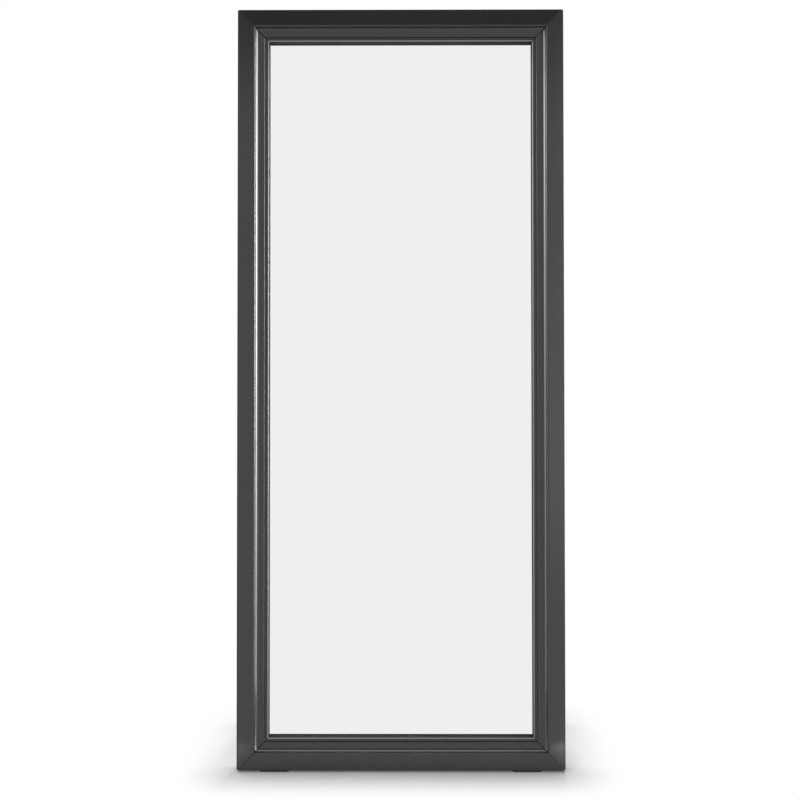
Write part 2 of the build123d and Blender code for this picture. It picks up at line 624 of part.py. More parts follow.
for name, side in (("left_leg", -1), ("right_leg", 1)):
    outer_face = leg_side(side * PIVOT_X + LEG_WIDTH / 2)
    with BuildPart() as leg:
        with BuildSketch(outer_face):
            with BuildLine():
                Polyline(
                    (HALF_LEG, -WOOD_REACH),
                    (HALF_LEG, HEEL_START),
                    (HEEL_TOP_FRONT, LEG_HEEL),
                    (HEEL_ROUND - HALF_LEG, LEG_HEEL),
                )
                RadiusArc(
                    (HEEL_ROUND - HALF_LEG, LEG_HEEL), (-HALF_LEG, LEG_HEEL - HEEL_ROUND), -HEEL_ROUND
                )
                Polyline(
                    (-HALF_LEG, LEG_HEEL - HEEL_ROUND), (-HALF_LEG, -WOOD_REACH), (HALF_LEG, -WOOD_REACH)
                )
            make_face()
        extrude(amount=LEG_WIDTH)
        long_edges = [e for e in leg.edges() if e.length > WOOD_REACH * LONG_EDGE_SHARE]
        fillet(long_edges, LEG_EDGE_ROUND)
        with BuildSketch(outer_face):
            Circle(BUSH_RADIUS + HOLE_SLACK)
        extrude(amount=LEG_WIDTH, mode=Mode.SUBTRACT)
        with BuildSketch(outer_face):
            with Locations(*[(0, y) for y in BAR_SCREW_Y]):
                Circle(CROSSBAR_SCREW[1] + HOLE_SLACK)
        extrude(amount=LEG_WIDTH, mode=Mode.SUBTRACT)
        outside = STAND.location * Location((side * (PIVOT_X + LEG_WIDTH / 2), 0, 0), (0, 90 * side, 0))
        with Locations(*[outside * Location((0, y, 0)) for y in BAR_SCREW_Y]):
            CounterSinkHole(CROSSBAR_SCREW[1] + HEAD_SLACK, CROSSBAR_SCREW[0] + HEAD_SLACK, LEG_WIDTH)
    save(leg.part, name)

    with BuildPart() as tip:
        tip_plane = Plane(
            origin=STAND.from_local_coords(Vector(side * PIVOT_X, TIP_HEIGHT - LEG_REACH, 0)),
            x_dir=ACROSS,
            z_dir=STAND.y_dir,
        )
        with BuildSketch(tip_plane):
            RectangleRounded(LEG_WIDTH + 2 * TIP_WALL, LEG_THICKNESS + 2 * TIP_WALL, TIP_CORNER)
        extrude(amount=-TIP_HEIGHT - TIP_HALF)
        split(bisect_by=Plane.XY, keep=Keep.TOP)
        with BuildSketch(tip_plane):
            RectangleRounded(LEG_WIDTH + TIP_SLACK, LEG_THICKNESS + TIP_SLACK, LEG_EDGE_ROUND)
        extrude(amount=-TIP_HEIGHT + LEG_REACH - WOOD_REACH, mode=Mode.SUBTRACT)
    save(tip.part, name + "_tip")

with BuildPart() as bushes:
    for side in (-1, 1):
        with BuildSketch(Plane(origin=PIVOT + ACROSS * (side * PIVOT_X), z_dir=ACROSS)):
            Circle(BUSH_RADIUS)
            Circle(BOLT_RADIUS + RUNNING_GAP, mode=Mode.SUBTRACT)
        extrude(amount=LEG_WIDTH / 2, both=True)
save(bushes.part, "pivot_bushes")

# Crossbars between the legs
BAR_HALF = PIVOT_X - LEG_WIDTH / 2
for name, bar_y in (("upper_crossbar", UPPER_BAR_Y), ("lower_crossbar", LOWER_BAR_Y)):
    with BuildPart() as bar:
        with BuildSketch(STAND.offset(-CROSSBAR_THICKNESS / 2)):
            with Locations((0, bar_y)):
                Rectangle(2 * BAR_HALF, CROSSBAR_HEIGHT)
        extrude(amount=CROSSBAR_THICKNESS)
        fillet(bar.edges().filter_by(Axis.X), LEG_EDGE_ROUND)
        with BuildSketch(leg_side(BAR_HALF)):
            with Locations(*[(0, y) for y in BAR_SCREW_Y]):
                Circle(CROSSBAR_SCREW[1] + HOLE_SLACK)
        hole_depth = CROSSBAR_SCREW[2] - LEG_WIDTH
        extrude(amount=hole_depth, mode=Mode.SUBTRACT)
        with BuildSketch(leg_side(-BAR_HALF)):
            with Locations(*[(0, y) for y in BAR_SCREW_Y]):
                Circle(CROSSBAR_SCREW[1] + HOLE_SLACK)
        extrude(amount=-hole_depth, mode=Mode.SUBTRACT)
    save(bar.part, name)

crossbar_screw = screw(*CROSSBAR_SCREW)
with BuildPart() as crossbar_screws:
    for side in (-1, 1):
        outside = STAND.location * Location((side * (PIVOT_X + LEG_WIDTH / 2), 0, 0), (0, 90 * side, 0))
        with Locations(*[outside * Location((0, y, 0)) for y in BAR_SCREW_Y]):
            add(crossbar_screw)
save(crossbar_screws.part, "crossbar_screws")
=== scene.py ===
"""Looks of a full-length standing mirror: lacquered moulding, silvered glass and a folding easel stand.

Metres, +Z up, the glass faces -Y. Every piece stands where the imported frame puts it.
"""

import logging
import math
from dataclasses import dataclass, field, replace
from enum import Enum
from typing import Sequence, Union

import bmesh
import bpy
from mathutils import Matrix, Vector


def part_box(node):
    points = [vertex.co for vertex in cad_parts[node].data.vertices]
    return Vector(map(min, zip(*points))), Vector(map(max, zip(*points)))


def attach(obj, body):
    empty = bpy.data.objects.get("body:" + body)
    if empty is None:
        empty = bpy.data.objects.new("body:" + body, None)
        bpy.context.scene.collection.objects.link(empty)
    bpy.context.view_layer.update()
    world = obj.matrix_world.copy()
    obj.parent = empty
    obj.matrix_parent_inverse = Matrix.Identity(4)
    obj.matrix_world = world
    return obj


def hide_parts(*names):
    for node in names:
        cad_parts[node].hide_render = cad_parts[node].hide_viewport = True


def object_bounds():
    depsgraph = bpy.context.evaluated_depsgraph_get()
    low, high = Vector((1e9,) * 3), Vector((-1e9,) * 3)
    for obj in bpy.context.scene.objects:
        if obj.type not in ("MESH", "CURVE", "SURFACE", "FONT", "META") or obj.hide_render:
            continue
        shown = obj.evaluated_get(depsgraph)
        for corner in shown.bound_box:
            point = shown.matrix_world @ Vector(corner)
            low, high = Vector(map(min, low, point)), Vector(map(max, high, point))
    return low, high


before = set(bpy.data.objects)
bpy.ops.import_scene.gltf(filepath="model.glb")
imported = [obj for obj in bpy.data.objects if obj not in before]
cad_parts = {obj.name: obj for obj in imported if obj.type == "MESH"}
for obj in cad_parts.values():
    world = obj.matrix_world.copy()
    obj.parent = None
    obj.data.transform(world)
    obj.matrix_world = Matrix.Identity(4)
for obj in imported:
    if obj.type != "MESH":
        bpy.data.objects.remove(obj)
CAD_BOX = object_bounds()
LOG = logging.getLogger("standing_mirror")

MM = 0.001
LEAN = math.radians(7.0)
Number = Union[int, float]
Triple = tuple[float, float, float]


class Sock:
    """One output socket, with the operators that shader maths needs."""

    def __init__(self, graph: "Graph", socket: bpy.types.NodeSocket) -> None:
        """Keeps the socket beside the graph that it belongs to."""
        self.graph = graph
        self.socket = socket

    def _math(self, operation: str, *others: Union["Sock", Number]) -> "Sock":
        """Adds one Math node with this value first."""
        inputs = dict(enumerate((self, *others)))
        return self.graph.node("ShaderNodeMath", {"operation": operation}, inputs).out()

    def __add__(self, other: Union["Sock", Number]) -> "Sock":
        """Adds the two values."""
        return self._math("ADD", other)

    def __mul__(self, other: Union["Sock", Number]) -> "Sock":
        """Multiplies the two values."""
        return self._math("MULTIPLY", other)

    def __sub__(self, other: Union["Sock", Number]) -> "Sock":
        """Takes the other value from this one."""
        return self._math("SUBTRACT", other)

    def __rsub__(self, other: Number) -> "Sock":
        """Takes this value from a number."""
        return self * -1.0 + other

    def __truediv__(self, other: Union["Sock", Number]) -> "Sock":
        """Divides this value by the other."""
        return self._math("DIVIDE", other)

    def __abs__(self) -> "Sock":
        """Takes the size of the value."""
        return self._math("ABSOLUTE")

    def power(self, exponent: Number) -> "Sock":
        """Raises the value to a power."""
        return self._math("POWER", exponent)

    def sine(self) -> "Sock":
        """Takes the sine of the angle in radians."""
        return self._math("SINE")

    def arcsine(self) -> "Sock":
        """Takes the angle in radians whose sine is the value."""
        return self._math("ARCSINE")

    def bearing(self, other: "Sock") -> "Sock":
        """Takes the angle of this value over the other, in radians."""
        return self._math("ARCTAN2", other)

    def most(self, other: Union["Sock", Number]) -> "Sock":
        """Takes the larger of the two values."""
        return self._math("MAXIMUM", other)

    def ramp(self, low: Union["Sock", Number], high: Union["Sock", Number]) -> "Sock":
        """Climbs smoothly from 0 at low to 1 at high."""
        settings = {"interpolation_type": "SMOOTHSTEP"}
        inputs = {"Value": self, "From Min": low, "From Max": high}
        return self.graph.node("ShaderNodeMapRange", settings, inputs).out()

    def curve(self, stops: Sequence[tuple[float, float]]) -> "Sock":
        """Reads the value off a run of straight lines.

        Args:
            stops: pairs of a value and the level that it gives, with levels from 0 to 1.

        Returns:
            The level.
        """
        low, high = stops[0][0], stops[-1][0]
        place = (self - low) / (high - low)
        shades = [((value - low) / (high - low), (level, level, level)) for value, level in stops]
        return self.graph.node("ShaderNodeValToRGB", {"stops": shades}, {0: place}).out()


@dataclass
class NodeRef:
    """A node that was just added, and the graph that holds it."""

    graph: "Graph"
    node: bpy.types.Node

    def out(self, name: Union[str, int] = 0) -> Sock:
        """Returns one of the node's outputs."""
        return Sock(self.graph, self.node.outputs[name])


class Graph:
    """A node tree that is filled with typed calls."""

    def __init__(self, tree: bpy.types.NodeTree) -> None:
        """Empties the tree."""
        self.tree = tree
        tree.nodes.clear()

    def node(self, kind: str, settings: dict | None = None, inputs: dict | None = None) -> NodeRef:
        """Adds one node.

        Args:
            kind: Blender's name of the node's type.
            settings: attributes of the node, set before its sockets.
            inputs: values or links, by the socket's name or number.

        Returns:
            The node, ready to give its outputs.
        """
        made = self.tree.nodes.new(kind)
        for name, value in (settings or {}).items():
            if name == "stops":
                self._set_stops(made.color_ramp, value)
            else:
                setattr(made, name, value)
        for name, value in (inputs or {}).items():
            socket = made.inputs[name]
            if isinstance(value, Sock):
                self.tree.links.new(value.socket, socket)
            elif isinstance(value, tuple) and socket.type == "RGBA" and len(value) == 3:
                socket.default_value = (*value, 1.0)
            else:
                socket.default_value = value
        return NodeRef(self, made)

    @staticmethod
    def _set_stops(ramp: bpy.types.ColorRamp, stops: Sequence[tuple[float, Triple]]) -> None:
        """Gives a colour ramp its stops."""
        while len(ramp.elements) < len(stops):
            ramp.elements.new(1.0)
        for element, (position, colour) in zip(ramp.elements, stops):
            element.position = position
            element.color = (*colour, 1.0)

    def place(self) -> Sock:
        """Returns the point on the surface, in the frame's metres."""
        return self.node("ShaderNodeTexCoord").out("Object")

    def mapped(self, place: Sock, scale: Triple, turn: Triple = (0.0, 0.0, 0.0)) -> Sock:
        """Turns and scales a point before a texture reads it.

        Args:
            place: the point.
            scale: features per metre along each axis.
            turn: rotation in radians about each axis.

        Returns:
            The turned and scaled point.
        """
        inputs = {"Vector": place, "Rotation": turn, "Scale": scale}
        return self.node("ShaderNodeMapping", {"vector_type": "POINT"}, inputs).out()

    def noise(self, place: Sock, scale: Number, detail: Number = 3.0, roughness: Number = 0.5) -> Sock:
        """Returns smooth noise around 0.5."""
        inputs = {"Vector": place, "Scale": scale, "Detail": detail, "Roughness": roughness}
        return self.node("ShaderNodeTexNoise", {}, inputs).out(0)

    def cells(self, place: Sock, scale: Number) -> NodeRef:
        """Returns a cell pattern."""
        return self.node("ShaderNodeTexVoronoi", {"feature": "F1"}, {"Vector": place, "Scale": scale})

    def blend(
        self, factor: Union[Sock, Number], first: Triple | Sock, second: Triple | Sock, kind: str = "MIX"
    ) -> Sock:
        """Mixes two colours by a factor from 0 to 1."""
        settings = {"data_type": "RGBA", "blend_type": kind}
        return self.node("ShaderNodeMix", settings, {0: factor, 6: first, 7: second}).out(2)

    def bump(self, height: Sock, distance: Number) -> Sock:
        """Turns a height into a normal."""
        inputs = {"Height": height, "Distance": distance, "Strength": 1.0}
        return self.node("ShaderNodeBump", {}, inputs).out()


def scaled(colour: Triple, factor: float) -> Triple:
    """Returns a colour made lighter or darker."""
    return (colour[0] * factor, colour[1] * factor, colour[2] * factor)


class Along(Enum):
    """Turn that lays a texture's Z axis along a piece."""

    FRAME = (LEAN, 0.0, 0.0)
    STAND = (-LEAN, 0.0, 0.0)
    CROSSWISE = (0.0, math.radians(90.0), 0.0)


@dataclass(frozen=True)
class Finish:
    """A finish that builds one material around one Principled shader."""

    name: str

    def material(self) -> bpy.types.Material:
        """Builds the material."""
        made = bpy.data.materials.new(self.name)
        made.use_nodes = True
        graph = Graph(made.node_tree)
        shader = graph.node("ShaderNodeBsdfPrincipled", {}, self.sockets(graph)).out()
        graph.node("ShaderNodeOutputMaterial", {}, {"Surface": shader})
        return made

    def sockets(self, graph: Graph) -> dict:
        """Returns the values and links of the shader's sockets."""
        raise NotImplementedError


@dataclass(frozen=True)
class Lacquer(Finish):
    """Sprayed black lacquer: a sharp clear gloss over a duller black.

    Inside the sight edge it is matte, and along the sight edge's crest a lighter grey line is painted into
    the colour as a highlight.
    """

    colour: Triple = (0.009, 0.009, 0.0092)
    # Grey of the highlight painted along the sight edge's crest.
    crest_highlight_grey: Triple = (0.15, 0.15, 0.152)
    shade: float = 0.25
    base_gloss: float = 0.2
    base_roughness: float = 0.45
    gloss_roughness: float = 0.09
    smudge: float = 0.12
    peel: float = 0.00002
    peel_size: float = 0.0025

    def sockets(self, graph: Graph) -> dict:
        """Returns the lacquer's values and links."""
        place = graph.place()
        patches = graph.noise(place, 6.0, 4.0)
        smudges = graph.noise(graph.mapped(place, (9.0, 9.0, 4.0)), 2.0, 5.0, 0.6)
        peel = graph.noise(place, 1.0 / self.peel_size, 2.0)
        matte = graph.node("ShaderNodeAttribute", {"attribute_name": "matte"}).out("Fac")
        # Share of the painted highlight along the sight edge's crest; it lightens the colour to the grey
        # below.
        crest_highlight = graph.node("ShaderNodeAttribute", {"attribute_name": "crest_highlight"}).out("Fac")
        darker, lighter = scaled(self.colour, 1.0 - self.shade), scaled(self.colour, 1.0 + self.shade)
        ground = graph.blend(patches, darker, lighter)
        return {
            "Base Color": graph.blend(crest_highlight, ground, self.crest_highlight_grey),
            "Specular IOR Level": self.base_gloss,
            "Roughness": (patches - 0.5) * 0.1 + self.base_roughness + matte * 0.3,
            "Coat Weight": (1.0 - matte) * (1.0 - smudges * self.smudge),
            "Coat Roughness": self.gloss_roughness,
            "Normal": graph.bump(peel, self.peel),
        }


@dataclass(frozen=True)
class LacqueredTimber(Finish):
    """Thin black lacquer over beech, with the open grain showing through."""

    along: Along = Along.STAND
    colour: Triple = (0.014, 0.0138, 0.0135)
    shade: float = 0.35
    roughness: float = 0.46
    coat: float = 0.16
    grain: float = 0.00009

    def sockets(self, graph: Graph) -> dict:
        """Returns the timber's values and links."""
        run = graph.mapped(graph.place(), (1.0, 1.0, 0.045), self.along.value)
        pores = graph.noise(run, 1400.0, 4.0, 0.6)
        bands = graph.noise(run, 190.0, 3.0)
        flecks = pores.ramp(0.56, 0.68)
        lighter, darker = scaled(self.colour, 1.0 + self.shade), scaled(self.colour, 1.0 - self.shade)
        return {
            "Base Color": graph.blend(bands * 0.6 + flecks * 0.4, lighter, darker),
            "Roughness": bands * 0.12 + flecks * 0.2 + (self.roughness - 0.08),
            "Specular IOR Level": 0.3,
            "Coat Weight": self.coat - flecks * 0.1,
            "Coat Roughness": 0.16,
            "Normal": graph.bump(flecks * -1.0 + bands * 0.4, self.grain),
        }


@dataclass(frozen=True)
class BareTimber(Finish):
    """Bare compressed beech."""

    colour: Triple = (0.56, 0.37, 0.21)

    def sockets(self, graph: Graph) -> dict:
        """Returns the timber's values and links."""
        run = graph.mapped(graph.place(), (0.12, 1.0, 1.0))
        flecks = graph.noise(run, 1500.0, 4.0, 0.65)
        bands = graph.noise(run, 260.0, 2.0)
        lighter, darker = scaled(self.colour, 1.2), scaled(self.colour, 0.72)
        return {
            "Base Color": graph.blend(flecks * 0.6 + bands * 0.4, lighter, darker),
            "Roughness": flecks * 0.2 + 0.55,
            "Normal": graph.bump(flecks, 0.00008),
        }


@dataclass(frozen=True)
class Silvering(Finish):
    """Mirror glass silvered on its back: a clean, neutral reflection."""

    colour: Triple = (0.863, 0.863, 0.863)
    roughness: float = 0.006

    def sockets(self, graph: Graph) -> dict:
        """Returns the mirror's values and links."""
        haze = graph.noise(graph.place(), 3.0, 5.0, 0.6)
        return {
            "Base Color": (*self.colour, 1.0),
            "Metallic": 1.0,
            "Roughness": haze * (2.0 * self.roughness),
        }


@dataclass(frozen=True)
class Foam(Finish):
    """Closed-cell foam tape with fine pores, with shade painted into the pits."""

    colour: Triple = (0.075, 0.075, 0.077)

    def sockets(self, graph: Graph) -> dict:
        """Returns the foam's values and links."""
        pores = graph.cells(graph.place(), 2600.0).out("Distance")
        return {
            # Painted shade: the colour follows the pores' bump, darker where the surface sinks and lighter on
            # the raised rims.
            "Base Color": graph.blend(pores, scaled(self.colour, 0.5), scaled(self.colour, 1.3)),
            "Roughness": pores * 0.1 + 0.82,
            "Specular IOR Level": 0.25,
            "Normal": graph.bump(pores, 0.0002),
        }


@dataclass(frozen=True)
class Hardboard(Finish):
    """Brown hardboard: pressed fibres with darker flecks and a faint screen mark."""

    colour: Triple = (0.235, 0.135, 0.07)
    screen: float = 1700.0

    def sockets(self, graph: Graph) -> dict:
        """Returns the board's values and links."""
        place = graph.mapped(graph.place(), (1.0, 1.0, 1.0), Along.FRAME.value)
        clouds = graph.noise(place, 14.0, 5.0, 0.6)
        fibres = graph.noise(graph.mapped(place, (1.0, 1.0, 0.35)), 900.0, 4.0, 0.7)
        flecks = graph.noise(place, 420.0, 3.0, 0.7).ramp(0.55, 0.66)
        split = graph.node("ShaderNodeSeparateXYZ", {}, {0: place})
        weave = (split.out(0) * self.screen).sine() * (split.out(2) * self.screen).sine()
        tone = graph.blend(clouds * 0.5 + fibres * 0.5, scaled(self.colour, 0.78), scaled(self.colour, 1.22))
        return {
            "Base Color": graph.blend(flecks * 0.7, tone, scaled(self.colour, 0.36)),
            "Roughness": fibres * 0.25 + 0.6,
            "Specular IOR Level": 0.35,
            "Normal": graph.bump(weave * 0.5 + fibres * 0.5, 0.00009),
        }


@dataclass(frozen=True)
class Plated(Finish):
    """Bright zinc plate on pressed steel: fine spangle, handling marks and a faint warm tint."""

    colour: Triple = (0.62, 0.62, 0.6)
    tint: Triple = (0.6, 0.56, 0.47)
    roughness: float = 0.3
    spangle_depth: float = 0.12

    def sockets(self, graph: Graph) -> dict:
        """Returns the plate's values and links."""
        place = graph.place()
        spangle = graph.cells(place, 700.0).out("Color")
        clouds = graph.noise(place, 60.0, 4.0, 0.6)
        scuffs = graph.noise(graph.mapped(place, (1.0, 1.0, 0.1), (0.4, 0.3, 0.5)), 1200.0, 3.0, 0.7)
        tinted = graph.blend(clouds.ramp(0.45, 0.75), self.colour, self.tint)
        return {
            "Base Color": graph.blend(self.spangle_depth, tinted, spangle, "MULTIPLY"),
            "Metallic": 1.0,
            "Roughness": clouds * 0.14 + scuffs * 0.16 + (self.roughness - 0.12),
            "Normal": graph.bump(scuffs, 0.00002),
        }


@dataclass(frozen=True)
class PowderCoat(Finish):
    """Black powder coat with a fine pebbled skin."""

    colour: Triple = (0.017, 0.017, 0.018)
    roughness: float = 0.42

    def sockets(self, graph: Graph) -> dict:
        """Returns the coat's values and links."""
        place = graph.place()
        pebble = graph.noise(place, 1100.0, 2.0, 0.4)
        wear = graph.noise(place, 45.0, 4.0, 0.6)
        return {
            "Base Color": graph.blend(wear, scaled(self.colour, 0.75), scaled(self.colour, 1.35)),
            "Roughness": wear * 0.14 + (self.roughness - 0.07),
            "Normal": graph.bump(pebble, 0.00009),
        }


@dataclass(frozen=True)
class BlackOxide(Finish):
    """Black oxide on steel screws and bolts, a little oily and worn to bare steel in places."""

    colour: Triple = (0.05, 0.05, 0.053)
    bare: Triple = (0.32, 0.31, 0.3)

    def sockets(self, graph: Graph) -> dict:
        """Returns the oxide's values and links."""
        place = graph.place()
        wear = graph.noise(place, 520.0, 4.0, 0.7)
        return {
            "Base Color": graph.blend(wear.ramp(0.62, 0.74) * 0.7, self.colour, self.bare),
            "Metallic": 1.0,
            "Roughness": wear * 0.3 + 0.2,
            "Normal": graph.bump(wear, 0.00002),
        }


@dataclass(frozen=True)
class Rubber(Finish):
    """Moulded black rubber with a dusty bloom."""

    colour: Triple = (0.022, 0.022, 0.022)
    bloom: Triple = (0.06, 0.058, 0.055)

    def sockets(self, graph: Graph) -> dict:
        """Returns the rubber's values and links."""
        place = graph.place()
        dust = graph.noise(place, 90.0, 6.0, 0.7)
        skin = graph.noise(place, 2400.0, 2.0)
        return {
            "Base Color": graph.blend(dust.ramp(0.5, 0.75) * 0.5, self.colour, self.bloom),
            "Roughness": dust * 0.2 + 0.6,
            "Normal": graph.bump(skin, 0.00004),
        }


@dataclass(frozen=True)
class Nylon(Finish):
    """Natural nylon, slightly waxy, with faint turning marks."""

    colour: Triple = (0.76, 0.74, 0.68)

    def sockets(self, graph: Graph) -> dict:
        """Returns the nylon's values and links."""
        place = graph.place()
        clouds = graph.noise(place, 300.0, 3.0)
        rings = graph.noise(graph.mapped(place, (9.0, 1.0, 1.0)), 500.0, 2.0)
        return {
            "Base Color": graph.blend(clouds, scaled(self.colour, 0.94), scaled(self.colour, 1.03)),
            "Roughness": rings * 0.15 + 0.36,
            "Normal": graph.bump(rings, 0.00002),
        }


@dataclass(frozen=True)
class FramePlace:
    """Where the leaning frame stands: its back plane runs through origin, up the frame and across."""

    width: float = 787 * MM
    height: float = 1829 * MM
    lean: float = LEAN

    @property
    def up(self) -> Vector:
        """Direction up the frame."""
        return Vector((0.0, math.sin(self.lean), math.cos(self.lean)))

    @property
    def front(self) -> Vector:
        """Direction out of the glass."""
        return Vector((0.0, -math.cos(self.lean), math.sin(self.lean)))

    @property
    def origin(self) -> Vector:
        """Middle of the lowest edge of the frame's back face."""
        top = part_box("top_rail")[1].y
        return Vector((0.0, top - self.height * math.sin(self.lean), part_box("bottom_rail")[0].z))

    def point(self, across: float, up: float, forward: float) -> Vector:
        """Point given across, up and forward of the back plane."""
        return self.origin + Vector((across, 0, 0)) + self.up * up + self.front * forward


@dataclass(frozen=True)
class Corner:
    """One corner of the moulding's section.

    The place and the radius are in millimetres from the outer edge and the back face. soften is the share of
    the mitre's shoulder that the corner takes; matte is the finish there, the last a painted highlight, from
    0 to 1.
    """

    inwards: float
    forward: float
    radius: float = 0.0
    soften: float = 1.0
    matte: float = 0.0
    crest_highlight: float = 0.0


@dataclass(frozen=True)
class SectionPoint:
    """One point of the rounded section, in metres, with its outward normal, its finish and its share of
    painted highlight.
    """

    spot: Vector
    normal: Vector
    soften: float
    matte: float
    crest_highlight: float


@dataclass(frozen=True)
class MouldingSection:
    """The moulding's section: a crowned outer band, a step with a cove, a bead, a groove and a sight edge."""

    corners: tuple[Corner, ...] = (
        Corner(0.0, 0.0, 0.5, soften=0.0, matte=1.0),
        Corner(0.0, 37.5, matte=1.0),
        Corner(0.0, 40.72, 2.0, matte=0.8),
        Corner(2.7, 41.1),
        Corner(21.0, 43.68, 300.0),
        Corner(38.5, 45.7, 20.0),
        Corner(42.5, 45.7, 1.3),
        Corner(42.5, 31.6, 10.5),
        Corner(64.6, 31.6, 1.3),
        Corner(65.9, 27.0, 0.5),
        Corner(70.0, 27.0, 0.5),
        Corner(70.6, 30.6, 1.2),
        # The sight edge's crest: a highlight is painted along its round.
        Corner(75.0, 30.6, 1.7, crest_highlight=1.0),
        Corner(75.0, 28.2, matte=1.0),
        Corner(75.0, 14.0, 0.3, soften=0.0, matte=1.0),
        Corner(64.0, 14.0, 0.3, soften=0.0, matte=1.0),
        Corner(64.0, 0.0, 0.3, soften=0.0, matte=0.9),
    )
    step: float = math.radians(6.0)
    hold: float = 0.3 * MM
    least_holds: float = 4.0
    flat_turn: float = 0.02

    def points(self) -> list[SectionPoint]:
        """Rounds every corner.

        Returns:
            Points of the closed section in order.
        """
        flat = [Vector((c.inwards, c.forward)) * MM for c in self.corners]
        made: list[SectionPoint] = []
        for i, corner in enumerate(self.corners):
            here, before, after = flat[i], flat[i - 1], flat[(i + 1) % len(flat)]
            into, away = (here - before).normalized(), (after - here).normalized()
            turn = math.atan2(into.x * away.y - into.y * away.x, into.dot(away))
            radius = corner.radius * MM
            reach = radius * abs(math.tan(turn / 2))
            side = 1.0 if turn < 0 else -1.0
            normal = Vector((-into.y, into.x))
            centre = here - into * reach - normal * (side * radius)
            steps = max(1, math.ceil(abs(turn) / self.step)) if radius else 0
            for k in range(steps + 1):
                spun = Matrix.Rotation(turn * k / max(1, steps), 2) @ normal
                spot = centre + spun * (side * radius)
                made.append(SectionPoint(spot, spun, corner.soften, corner.matte, corner.crest_highlight))
        return self._held(made)

    def _held(self, made: list[SectionPoint]) -> list[SectionPoint]:
        """Adds a point just inside each end of every flat, so that shading stays on the round."""
        held: list[SectionPoint] = []
        for here, there in zip(made, made[1:] + made[:1]):
            held.append(here)
            gap = there.spot - here.spot
            flat = (here.normal - there.normal).length < self.flat_turn
            if flat and gap.length > self.least_holds * self.hold:
                inwards = gap.normalized() * self.hold
                held.append(replace(here, spot=here.spot + inwards))
                held.append(replace(there, spot=there.spot - inwards))
        return held


@dataclass(frozen=True)
class HangerPocket:
    """Recess let into a stile's back: a slot for the keyhole plate over a deeper one for the wall screw."""

    place: FramePlace
    side: float
    inwards: float = 32 * MM
    drop: float = 190 * MM
    plate: tuple[float, float, float] = (52.4 * MM, 18.4 * MM, 2 * MM)
    pocket: tuple[float, float, float] = (26 * MM, 11 * MM, 9 * MM)
    arc_steps: int = 16
    matte: float = 0.9

    def cut(self, piece: bpy.types.Object) -> None:
        """Cuts the recess out of a stile."""
        across = self.side * (self.place.width / 2 - self.inwards)
        up = self.place.height - self.drop
        mesh = bmesh.new()
        length, width, depth = self.plate
        inner_length, inner_width, inner_depth = self.pocket
        levels = (
            (length, width, -depth),
            (length, width, depth),
            (inner_length, inner_width, depth),
            (inner_length, inner_width, inner_depth),
        )
        loops = []
        for long, wide, forward in levels:
            spots = (self.place.point(across + x, up + y, forward) for x, y in self._slot(long, wide))
            loops.append([mesh.verts.new(spot) for spot in spots])
        for first, second in zip(loops, loops[1:]):
            for i in range(len(first)):
                mesh.faces.new((first[i - 1], first[i], second[i], second[i - 1]))
        mesh.faces.new(loops[0])
        mesh.faces.new(list(reversed(loops[-1])))
        bmesh.ops.recalc_face_normals(mesh, faces=mesh.faces)
        data = bpy.data.meshes.new("hanger_cutter")
        mesh.to_mesh(data)
        mesh.free()
        cutter = bpy.data.objects.new("hanger_cutter", data)
        bpy.context.collection.objects.link(cutter)
        cut = piece.modifiers.new("hanger_recess", "BOOLEAN")
        cut.operation, cut.solver, cut.object = "DIFFERENCE", "EXACT", cutter
        whole = piece.data
        shaped = piece.evaluated_get(bpy.context.evaluated_depsgraph_get())
        piece.data = bpy.data.meshes.new_from_object(shaped)
        piece.modifiers.clear()
        bpy.data.objects.remove(cutter)
        bpy.data.meshes.remove(data)
        bpy.data.meshes.remove(whole)
        middle = self.place.point(across, up, 0.0)
        worn = piece.data.attributes["matte"].data
        for vertex in piece.data.vertices:
            if (vertex.co - middle).length < length:
                worn[vertex.index].value = self.matte

    def _slot(self, length: float, width: float) -> list[tuple[float, float]]:
        """Outlines a round-ended slot that runs up the frame, about its middle."""
        radius = width / 2
        outline = []
        for end in (1.0, -1.0):
            for k in range(self.arc_steps + 1):
                angle = math.pi * k / self.arc_steps
                spot = (radius * math.cos(angle), radius * math.sin(angle) + length / 2 - radius)
                outline.append((end * spot[0], end * spot[1]))
        return outline


